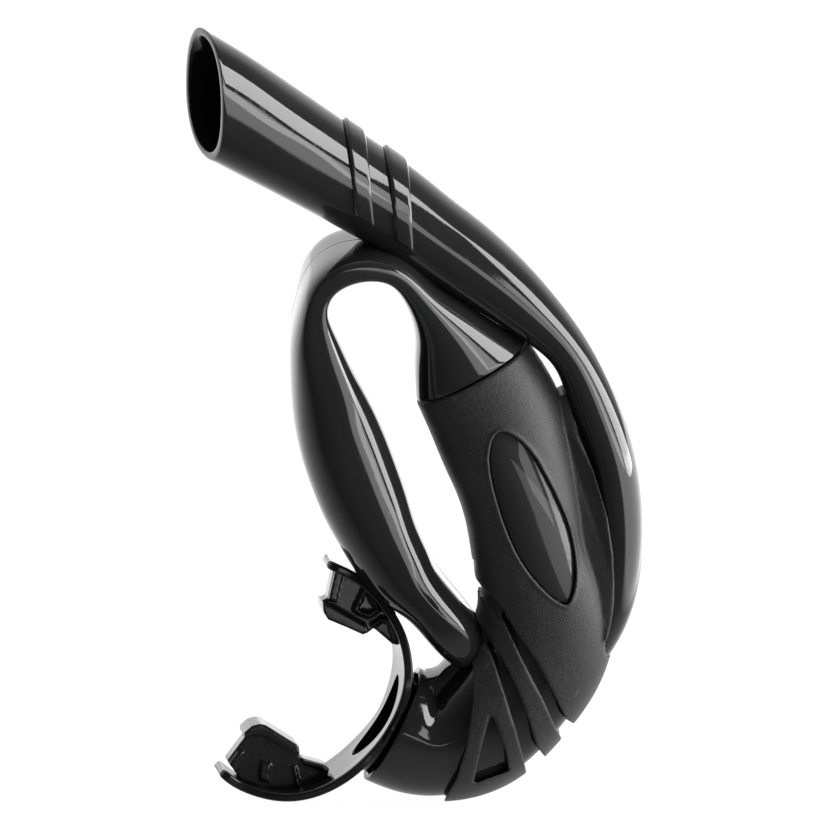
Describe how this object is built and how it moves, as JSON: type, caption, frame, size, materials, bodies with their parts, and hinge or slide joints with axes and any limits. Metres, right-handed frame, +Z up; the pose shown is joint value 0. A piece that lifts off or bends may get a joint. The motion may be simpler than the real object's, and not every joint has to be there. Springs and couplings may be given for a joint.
{
  "type": "mouthpiece snorkel",
  "caption": "Black twin-passage mouthpiece snorkel: flared slanted barrel, long swept tube, flattened loop duct with a cone, soft grip sleeve with slots, swivelling bite mouthpiece.",
  "frame": {"origin": "bottom centre of the whole snorkel's box, standing as worn", "axes": "+Z up along the long direction, X in the plane of the ducts with the barrel and mouthpiece toward -X, Y across the mould seam with the barrel's open end leaning toward -Y"},
  "size_m": [0.124, 0.0472, 0.2212],
  "materials": {
    "gloss_black": "high gloss black moulding",
    "inlay_black": "polished black inlay",
    "grip_rubber": "matte, finely stippled soft-touch rubber",
    "silicone_black": "glossy black silicone",
    "valve_plastic": "satin black moulding"
  },
  "bodies": {
    "shell": {"tube_shell_near": "gloss_black", "tube_shell_far": "gloss_black", "loop_shell_near": "gloss_black", "loop_shell_far": "gloss_black", "body_shell_near": "gloss_black", "body_shell_far": "gloss_black", "grip_sleeve": "grip_rubber", "grip_inlay_near": "inlay_black", "grip_inlay_far": "inlay_black", "cone_coupler": "valve_plastic", "exhale_valve_seat": "valve_plastic", "exhale_flap_clip": "valve_plastic", "inhale_valve_seat": "valve_plastic", "neck_collar": "valve_plastic", "neck_seal_ring": "grip_rubber"},
    "mouthpiece_assembly": {"mouthpiece_spigot": "valve_plastic", "mouthpiece": "silicone_black", "mouthpiece_clamp": "valve_plastic"},
    "exhale_flap": {"exhale_flap": "silicone_black"},
    "inhale_flap": {"inhale_flap": "silicone_black"}
  },
  "joints": [
    {"name": "mouthpiece_swivel", "type": "hinge", "parent": "shell", "child": "mouthpiece_assembly", "pos_m": [-0.0067, 0.00404, 0.02201], "axis": [-0.881, 0, 0.473], "range_deg": [-135, 135]},
    {"name": "exhale_flap_hinge", "type": "hinge", "parent": "shell", "child": "exhale_flap", "pos_m": [0.03653, 0.00404, 0.02662], "axis": [0, 1, 0], "range_deg": [0, 25]},
    {"name": "inhale_flap_hinge", "type": "hinge", "parent": "shell", "child": "inhale_flap", "pos_m": [-0.00373, 0.00404, 0.06003], "axis": [0, 1, 0], "range_deg": [0, 45]}
  ]
}
